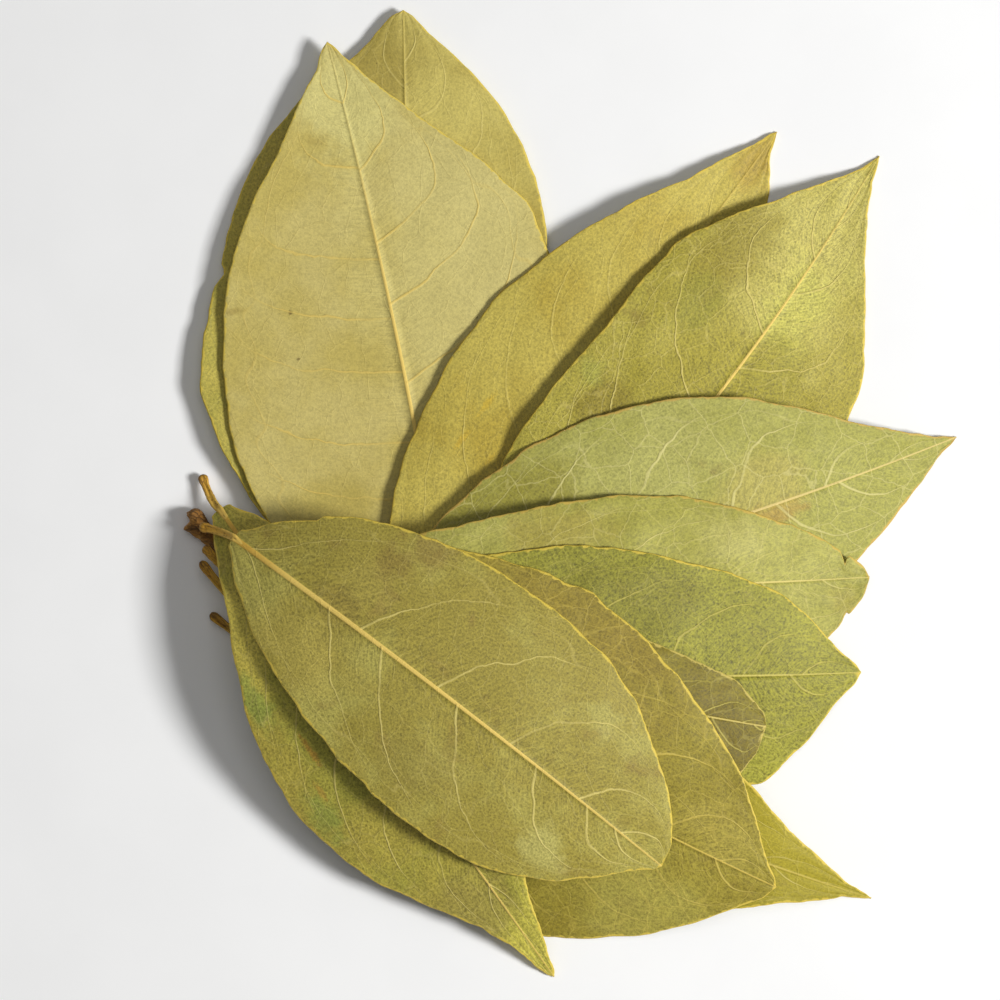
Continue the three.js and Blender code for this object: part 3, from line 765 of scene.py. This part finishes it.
leafLooks = {
    "leaf_01": {"shade": 1.03, "grain": 0.8, "blade": (162, 152, 64), "second": (184, 168, 74)},
    "leaf_02": {"shade": 0.965, "grain": 0.45, "blade": (207, 191, 101), "second": (180, 160, 70),
        "secondSize": 30, "rib": (208, 188, 94),
        "patches": [(87, 4.5, 9, 1.5, (160, 142, 60), 0.7)]},
    "leaf_03": {"shade": 0.97, "grain": 0.4, "blade": (204, 188, 111), "second": (194, 176, 91),
        "netShow": 0.05, "veinShow": 0.72, "vein": (224, 195, 98), "ribFade": (48, 86, 0.1),
        "brownCover": 0.04, "speckShare": 0.03,
        "patches": [(55.7, 13.5, 0.4, 1.3, (92, 72, 30), 0.75),
         (48.7, 13.7, 0.34, 1, (92, 72, 30), 0.65), (57.6, 21.8, 2.2, 0.3, (156, 134, 62), 0.5),
         (27, 12, 9, 1.4, (184, 166, 80), 0.5), (62, -13, 19, 1.7, (214, 201, 127), 0.7),
         (84, 0, 10, 1.2, (216, 206, 130), 0.8)]},
    "leaf_04": {"shade": 0.95, "grain": 0.7, "blade": (198, 180, 81), "second": (187, 164, 61),
        "netShow": 0.06, "veinShow": 0.25, "rib": (206, 180, 88), "ribShow": 0.55,
        "patches": [(31.7, 8.8, 0.7, 4, (214, 180, 50), 0.6), (25.3, 8.5, 0.6, 4, (212, 176, 50), 0.6),
         (25.5, 3.4, 0.5, 3, (206, 172, 50), 0.5), (92, -2, 9, 1.6, (184, 164, 62), 0.7),
         (84.9, -0.5, 4, 1.5, (172, 138, 54), 0.5)]},
    # leaf_05: its shade of 0.9 and the dark patches left of its middle line at 35 and 67 mm are painted
    # shade; the pale yellow patches at 66 and 74 mm are partly its own colour and partly painted light
    "leaf_05": {"shade": 0.9, "grain": 1, "blade": (172, 159, 54), "second": (184, 171, 67),
        "secondSize": 26, "netShow": 0.22, "ribFade": (58, 92, 0.25), "relief": 0.9,
        "patches": [(74, -3, 17, 1.3, (206, 194, 100), 0.9), (66, -4, 8, 1.2, (210, 204, 96), 0.7),
         (38.9, 13.8, 3, 1, (178, 180, 80), 0.5), (57.5, 7.7, 5, 1.4, (150, 148, 54), 0.5),
         (51, -8, 8, 1.5, (160, 150, 40), 0.6), (67, 8.5, 7, 1.6, (164, 148, 54), 0.75),
         (35, 9.3, 4.5, 1.6, (140, 122, 34), 0.6)]},
    "leaf_06": {"shade": 0.93, "grain": 0.7, "blade": (183, 179, 94), "second": (173, 169, 78),
        "rib": (226, 203, 128), "netShow": 0.38, "netSize": 6.2, "veinWidth": 0.33,
        "vein": (216, 206, 134), "brownCover": 0.05, "rim": (206, 170, 84),
        # the wide dark patch at 21.7 mm near the base is painted shade
        "patches": [(21.7, 8, 15, 1.4, (150, 141, 44), 0.8),
         (61.1, -2.9, 2.4, 2.4, (182, 142, 62), 0.65), (60, 1, 7, 1.5, (196, 178, 92), 0.5)]},
    "leaf_07": {"shade": 0.955, "grain": 0.7, "blade": (178, 173, 85), "second": (166, 161, 70),
        "rib": (222, 204, 120), "ribFade": (70, 92, 0.5), "netShow": 0.3, "netSize": 5.8,
        "veinShow": 0.7, "vein": (210, 198, 120), "rim": (206, 174, 80),
        "patches": [(80, 2.5, 11, 1.3, (176, 171, 82), 0.6), (86, -3.5, 3, 1, (176, 148, 66), 0.5),
         (44, 7, 6, 2, (164, 146, 60), 0.55), (69, 6, 5, 1.4, (198, 190, 112), 0.45),
         (84.6, -2, 7, 1.4, (160, 155, 72), 0.65)]},
    "leaf_08": {"shade": 0.95, "grain": 1.2, "blade": (142, 138, 45), "second": (158, 154, 56),
        "rib": (214, 198, 104), "ribFade": (58, 88, 0.55), "vein": (204, 190, 98), "veinShow": 0.55,
        "netShow": 0.16, "speckShare": 0.3,
        "patches": [(80, -3, 12, 1.2, (146, 140, 46), 0.5), (54, 9.5, 8, 2, (130, 124, 42), 0.6)]},
    "leaf_09": {"shade": 0.93, "blade": (178, 163, 45), "second": (163, 150, 41), "rib": (212, 190, 92),
        "ribFade": (68, 104, 0.5), "netShow": 0.1},
    "leaf_10": {"shade": 0.935, "grain": 0.85, "blade": (118, 103, 24), "second": (137, 124, 36),
        "rib": (206, 186, 100), "netShow": 0.22, "rim": (206, 186, 96), "vein": (196, 182, 92)},
    "leaf_11": {"shade": 0.95, "grain": 0.9, "blade": (151, 136, 45), "second": (161, 148, 57),
        "rib": (220, 192, 88), "netShow": 0.26, "brownCover": 0.16, "vein": (206, 184, 84),
        "patches": [(50, 21, 13, 2.4, (144, 124, 42), 0.75), (76, -12, 9, 1.5, (174, 164, 76), 0.6),
         (81.6, 3, 6, 1.5, (178, 162, 74), 0.5)]},
    # leaf_12: its shade of 1.06, its blade and second colours and its two green patches at 26 and 46 mm
    # are partly its own colour and partly painted light against the shadow that leaf_13 casts on it
    "leaf_12": {"shade": 1.06, "grain": 1.05, "blade": (162, 148, 62), "second": (150, 144, 56),
        "netShow": 0.16, "brownCover": 0.08,
        "patches": [(79, 2, 10, 1.2, (182, 172, 70), 0.9), (37, -9.6, 0.7, 5, (180, 122, 44), 0.5),
         (43, -12, 0.7, 3, (180, 122, 44), 0.5), (17.6, -9.2, 8, 1.6, (206, 188, 84), 0.7),
         (26, -12.3, 2.8, 2.6, (122, 146, 66), 0.5), (70, -3.8, 7, 1.4, (148, 135, 63), 0.8),
         (46, -13.6, 2.6, 2.4, (122, 144, 64), 0.45)]},
    "leaf_13": {"shade": 0.975, "grain": 0.9, "blade": (156, 142, 58), "second": (172, 162, 78),
        "secondSize": 16, "secondCover": 0.35, "brownSize": 9, "brownCover": 0.2, "netShow": 0.12,
        "ribFade": (45, 84, 0.65),
        "patches": [(17, -6.5, 8, 1.6, (184, 168, 80), 0.55), (20, 6.5, 5, 1.3, (176, 160, 76), 0.35),
         (42, -10, 6, 1.4, (140, 124, 50), 0.5), (20.9, 11.7, 4, 1, (134, 110, 52), 0.5),
         (24.7, 16.6, 4.5, 1, (130, 106, 50), 0.55), (18.5, 1.3, 4, 1.3, (138, 116, 54), 0.35),
         # the two pale grey-green patches at 59.5 and 64.2 mm are painted sheen
         (59.5, 12, 3, 1.5, (200, 196, 112), 0.3), (64.2, -8.9, 4.2, 1.4, (202, 196, 118), 0.4)]},
}


def startMaterial(name):
    material = bpy.data.materials.new(name)
    material.use_nodes = True
    return material, material.node_tree, material.node_tree.nodes["Principled BSDF"]


def coat(tree, colour, mask, show, tint, shade=1.0):
    return blend(tree, times(tree, mask, show), colour, paint(tint, shade))


def leafMaterial(name):
    look = {**plainLeaf, **leafLooks[name]}
    shade = look["shade"]
    material, tree, shader = startMaterial(name + "_dry_blade")
    place, veins, edges, sidesAt = (marking(tree, key) for key in ("place", "veins", "edges", "sides"))
    lines = use(tree, "veins", Place=place, Veins=veins, Edges=edges,
        Width=look["veinWidth"], NetSize=look["netSize"])
    grain = use(tree, "grain", Place=place, Veins=veins, Edges=edges, Cell=look["grainCell"])
    second = use(tree, "blotches", Place=place, Size=look["secondSize"],
        Cover=look["secondCover"], Softness=0.1)[0]
    brown = use(tree, "blotches", Place=scaled(tree, place, 1.3),
        Size=look["brownSize"], Cover=look["brownCover"], Softness=0.09)[0]
    specks = use(tree, "specks", Place=place, Share=look["speckShare"], **look["specks"])[0]
    rim = use(tree, "rim", Place=place, Edges=edges, Width=look["rimWidth"])[0]
    bark = use(tree, "bark", Place=place, Size=look["barkSize"])
    stalkShare, underShare, grooveShare = split(tree, sidesAt)

    colour = blend(tree, second, paint(look["blade"], shade), paint(look["second"], shade))
    colour = coat(tree, colour, brown, look["brownShow"], look["brown"], shade)
    for *spot, tint, show in look["patches"]:
        spot = dict(zip(("Along", "Across", "Size", "Stretch"), spot))
        patch = use(tree, "patch", Place=place, **spot)[0]
        colour = coat(tree, colour, patch, show, tint, shade)
    colour = coat(tree, colour, underShare, look["underShow"], look["under"])
    swing = 0.5 * look["grain"]
    tone = fade(tree, grain["Tone"], 0.2, 0.86, 1.0 - swing, 1.0 + swing)
    toneColour = put(tree, "CombineColor", {0: tone, 1: tone, 2: tone}).outputs[0]
    colour = blend(tree, 1, colour, toneColour, "MULTIPLY")
    for mask, show, tint in (
            (lines["Net"], "net", "vein"), (lines["Vein"], "vein", "vein"),
            (specks, "speck", "speck"), (rim, "rim", "rim")):
        colour = coat(tree, colour, mask, look[show + "Show"], look[tint])
    run = split(tree, place)[0]
    start, end, left = look["ribFade"]
    ribHere = fade(tree, run, start, end, look["ribShow"], look["ribShow"] * left)
    heel = fade(tree, run, *look["heelFade"], 0)
    ribColour = blend(tree, heel, paint(look["rib"]), paint(look["heel"]))
    colour = blend(tree, times(tree, lines["Rib"], ribHere), colour, ribColour)
    freckles = use(tree, "specks", Place=place, **look["freckles"])[0]
    freckles = times(tree, freckles, maths(tree, "GREATER_THAN", stalkShare, 0.01))
    colour = coat(tree, colour, freckles, look["freckleShow"], look["freckle"])
    woodTone = fade(tree, bark["Tone"], 0.2, 0.55)
    woodTone = blend(tree, woodTone, paint(look["stalkDark"]), paint(look["stalkPale"]))
    woody = fade(tree, sumOf(tree, bark["Tone"], -0.9, stalkShare), 0, 0.6)
    woody = maths(tree, "MAXIMUM", woody, times(tree, grooveShare, 0.5))
    foot = fade(tree, sumOf(tree, bark["Tone"], -0.25, stalkShare), 0.72, 0.95, 0, 0.75)
    woodTone = blend(tree, foot, woodTone, paint(look["foot"]))
    colour = blend(tree, woody, colour, woodTone)

    roughness = sumOf(tree, grain["Tone"], 0.16, look["roughness"] - 0.08)
    height = sumOf(tree, grain["Height"], 0.4 * look["grain"], lines["Height"])
    height = sumOf(tree, bark["Height"], times(tree, woody, 1.5), height)
    relief = {"Strength": look["relief"], "Distance": look["reliefDepth"] * mm, "Height": height}
    bump = put(tree, "Bump", relief).outputs[0]
    feed(tree, shader, {"Base Color": colour, "Roughness": roughness, "IOR": look["ior"], "Normal": bump})
    return material


wood = {
    "rounding": 3,  # times the CAD surface is divided
    "barkDepth": 0.13, "tornDepth": 0.6, "tornReach": 2.6,  # mm
    "forkDepth": 1.6, "forkWidth": 0.55, "forkSpread": 0.5,  # the end is split in two, mm
    "scaleRows": 4, "scaleLift": 0.16,  # bud scales: rows, and mm they stand off
    "bark": (158, 108, 36), "pale": (190, 142, 66), "dark": (66, 42, 14), "cut": (186, 136, 62),
    "scale": (134, 98, 46), "scaleDark": (70, 44, 20),
    "weld": 0.002, "twigGrain": 1.5, "budGrain": 0.8, "reliefDepth": 0.25,  # mm
    "relief": 0.8,
}


def barkMaterial(name, size, light, dark):
    material, tree, shader = startMaterial(name)
    place, ends = marking(tree, "place"), marking(tree, "sides")
    bark = use(tree, "bark", Place=place, Size=size)
    colour = blend(tree, fade(tree, bark["Tone"], 0.2, 0.6), paint(dark), paint(light))
    colour = coat(tree, colour, bark["Scar"], 0.7, wood["pale"])
    colour = coat(tree, colour, split(tree, ends)[0], 0.8, wood["cut"])
    roughness = fade(tree, bark["Tone"], 0.1, 0.7, 0.9, 0.65)
    relief = {"Strength": wood["relief"], "Distance": wood["reliefDepth"] * mm, "Height": bark["Height"]}
    bump = put(tree, "Bump", relief).outputs[0]
    feed(tree, shader, {"Base Color": colour, "Roughness": roughness, "Normal": bump})
    return material


def roundedSolid(node):
    # points in mm, normals and faces of a CAD solid after it is divided and rounded
    work = bmesh.new()
    work.from_mesh(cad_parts[node].data)
    bmesh.ops.remove_doubles(work, verts=work.verts, dist=wood["weld"] * mm)
    mesh = bpy.data.meshes.new("work")
    work.to_mesh(mesh)
    work.free()
    holder = addObject("work", mesh)
    holder.modifiers.new("rounding", "SUBSURF").levels = wood["rounding"]
    bpy.context.view_layer.update()
    finished = holder.evaluated_get(bpy.context.evaluated_depsgraph_get()).to_mesh()
    points = np.array([v.co[:] for v in finished.vertices]) / mm
    normals = np.array([v.normal[:] for v in finished.vertices])
    faces = [list(p.vertices) for p in finished.polygons]
    bpy.data.objects.remove(holder)
    return points, normals, faces


def finishWoody(node, piece, points, faces, cut, material):
    points[:, 2] = np.maximum(points[:, 2], stalk["floorGap"])
    made = makeObject(piece, points, faces, material, node)
    addVectors(made, "place", points)
    addVectors(made, "sides", np.stack([cut, 0 * cut, 0 * cut], -1))
    return points


def makeTwig():
    # bark wrinkles along the wood and a torn end where it was picked
    points, normals, faces = roundedSolid("twig")
    x, y, z = points.T
    rough = valueNoise(x / 0.9 + z, y / 0.9 + z, 3) + 0.6 * valueNoise(x / 0.4, y / 0.4 + z * 2, 4)
    points = points + normals * (wood["barkDepth"] * rough)[:, None]
    nearEnd = np.clip(1 - (x - x.min()) / wood["tornReach"], 0, 1)
    offset = y - y[nearEnd > 0].mean()
    cleft = np.exp(-(offset / wood["forkWidth"]) ** 2)
    torn = wood["tornDepth"] * valueNoise(y / 0.5, z / 0.5, 8)
    points[:, 0] += nearEnd * (wood["forkDepth"] * cleft + torn)
    points[:, 1] += wood["forkSpread"] * nearEnd ** 2 * np.sign(offset) * (1 - cleft)
    material = barkMaterial("twig_bark", wood["twigGrain"], wood["bark"], wood["dark"])
    return finishWoody("twig", "twig_bark", points, faces, nearEnd ** 3, material)


def makeBud(twigMiddle):
    # overlapping pointed scales round the closed bud
    points, normals, faces = roundedSolid("end_bud")
    middle = points.mean(0)
    axis = np.linalg.svd(points - middle)[2][0]
    if (middle[:2] - twigMiddle) @ axis[:2] < 0:
        axis = -axis
    along = (points - middle) @ axis
    share = (along - along.min()) / np.ptp(along)
    side = np.cross(axis, [0, 0, 1.0])
    side = side / np.linalg.norm(side)
    up = np.cross(side, axis)
    turn = np.arctan2((points - middle) @ up, (points - middle) @ side) / (2 * math.pi)
    row = share * wood["scaleRows"]
    pointed = np.abs((turn * 3 + 0.5 * np.floor(row)) % 1 - 0.5) * 2
    lift = (row - 0.5 * pointed) % 1
    lift = wood["scaleLift"] * (lift - 0.5) * np.clip(4 * share * (1 - share), 0, 1)
    points = points + normals * lift[:, None]
    material = barkMaterial("bud_scales", wood["budGrain"], wood["scale"], wood["scaleDark"])
    return finishWoody("end_bud", "bud_scales", points, faces, 0 * share, material)


def buildBranch():
    low, high = (np.array(corner) / mm for corner in cadBounds)
    pile = Pile(low, high, blade["pileCell"])
    twigPoints = makeTwig()
    twigMiddle = twigPoints[:, :2].mean(0)
    for points in (twigPoints, makeBud(twigMiddle)):
        i, j = pile.index(points[:, 0], points[:, 1])
        np.maximum.at(pile.height, (i, j), points[:, 2])
    print("twig and bud built")
    for number, name in enumerate(sorted(leafShapes)):
        makeLeaf(name, number, pile, twigMiddle, leafMaterial(name))
    print("leaves built:", len(leafShapes))


buildBranch()


stage = {
    "floorSize": 3.0,  # m
    "floorColours": ((0.94, 0.94, 0.935, 1), (0.96, 0.96, 0.955, 1)),
    "skyColour": (1.0, 0.995, 0.98, 1), "skyStrength": 0.12,
    "lamps": [  # where each stands in m, its side in m, watts
        ((0.62, -0.12, 0.6), 0.22, 8.0),
        ((-0.1, 0.3, 1.1), 0.9, 2.1),
    ],
    "aimShift": (-10.1, -0.95), "aimHeight": 8.0,  # mm, from the middle of the branch and the floor
    "seenWidth": 148.2, "distance": 1.2,  # mm, m
    "sensor": 36, "clip": (0.05, 20),  # mm, m from the lens
}


def aimPoint():
    low, high = (Vector(corner) for corner in cadBounds)
    middle = (low + high) / 2
    shift = Vector(stage["aimShift"]) * mm
    return Vector((middle.x + shift.x, middle.y + shift.y, stage["aimHeight"] * mm))


def floorMaterial():
    material, tree, shader = startMaterial("pale_floor")
    place = put(tree, "NewGeometry").outputs["Position"]
    tone = fade(tree, noise(tree, place, 60.0, 3.0)[0], 0.3, 0.7)
    colour = blend(tree, tone, *stage["floorColours"])
    feed(tree, shader, {"Base Color": colour, "Roughness": 0.8})
    return material


def makeFloor():
    half = stage["floorSize"] / 2
    mesh = bpy.data.meshes.new("floor")
    corners = [(-half, -half, 0), (half, -half, 0), (half, half, 0), (-half, half, 0)]
    mesh.from_pydata(corners, [], [(0, 1, 2, 3)])
    mesh.materials.append(floorMaterial())
    floor = addObject("floor", mesh)


def makeLight():
    world = bpy.data.worlds.new("sky")
    bpy.context.scene.world = world
    world.use_nodes = True
    sky = {"Color": stage["skyColour"], "Strength": stage["skyStrength"]}
    feed(world.node_tree, world.node_tree.nodes["Background"], sky)
    for number, (where, side, power) in enumerate(stage["lamps"]):
        lamp = bpy.data.lights.new("softbox%d" % number, "AREA")
        lamp.size = side
        lamp.energy = power
        holder = addObject(lamp.name, lamp)
        holder.location = where
        holder.rotation_mode = "QUATERNION"
        holder.rotation_quaternion = (aimPoint() - holder.location).to_track_quat("-Z", "Y")


def makeCamera():
    # straight down over the middle of the bunch
    lens = bpy.data.cameras.new("camera")
    lens.sensor_width = stage["sensor"]
    lens.lens = stage["sensor"] * stage["distance"] / (stage["seenWidth"] * mm)
    lens.clip_start, lens.clip_end = stage["clip"]
    camera = addObject("camera", lens)
    camera.location = aimPoint() + Vector((0, 0, stage["distance"]))
    bpy.context.scene.camera = camera
    bpy.context.scene.view_settings.view_transform = "Standard"


makeFloor()
makeLight()
makeCamera()
print("floor, light and camera set")
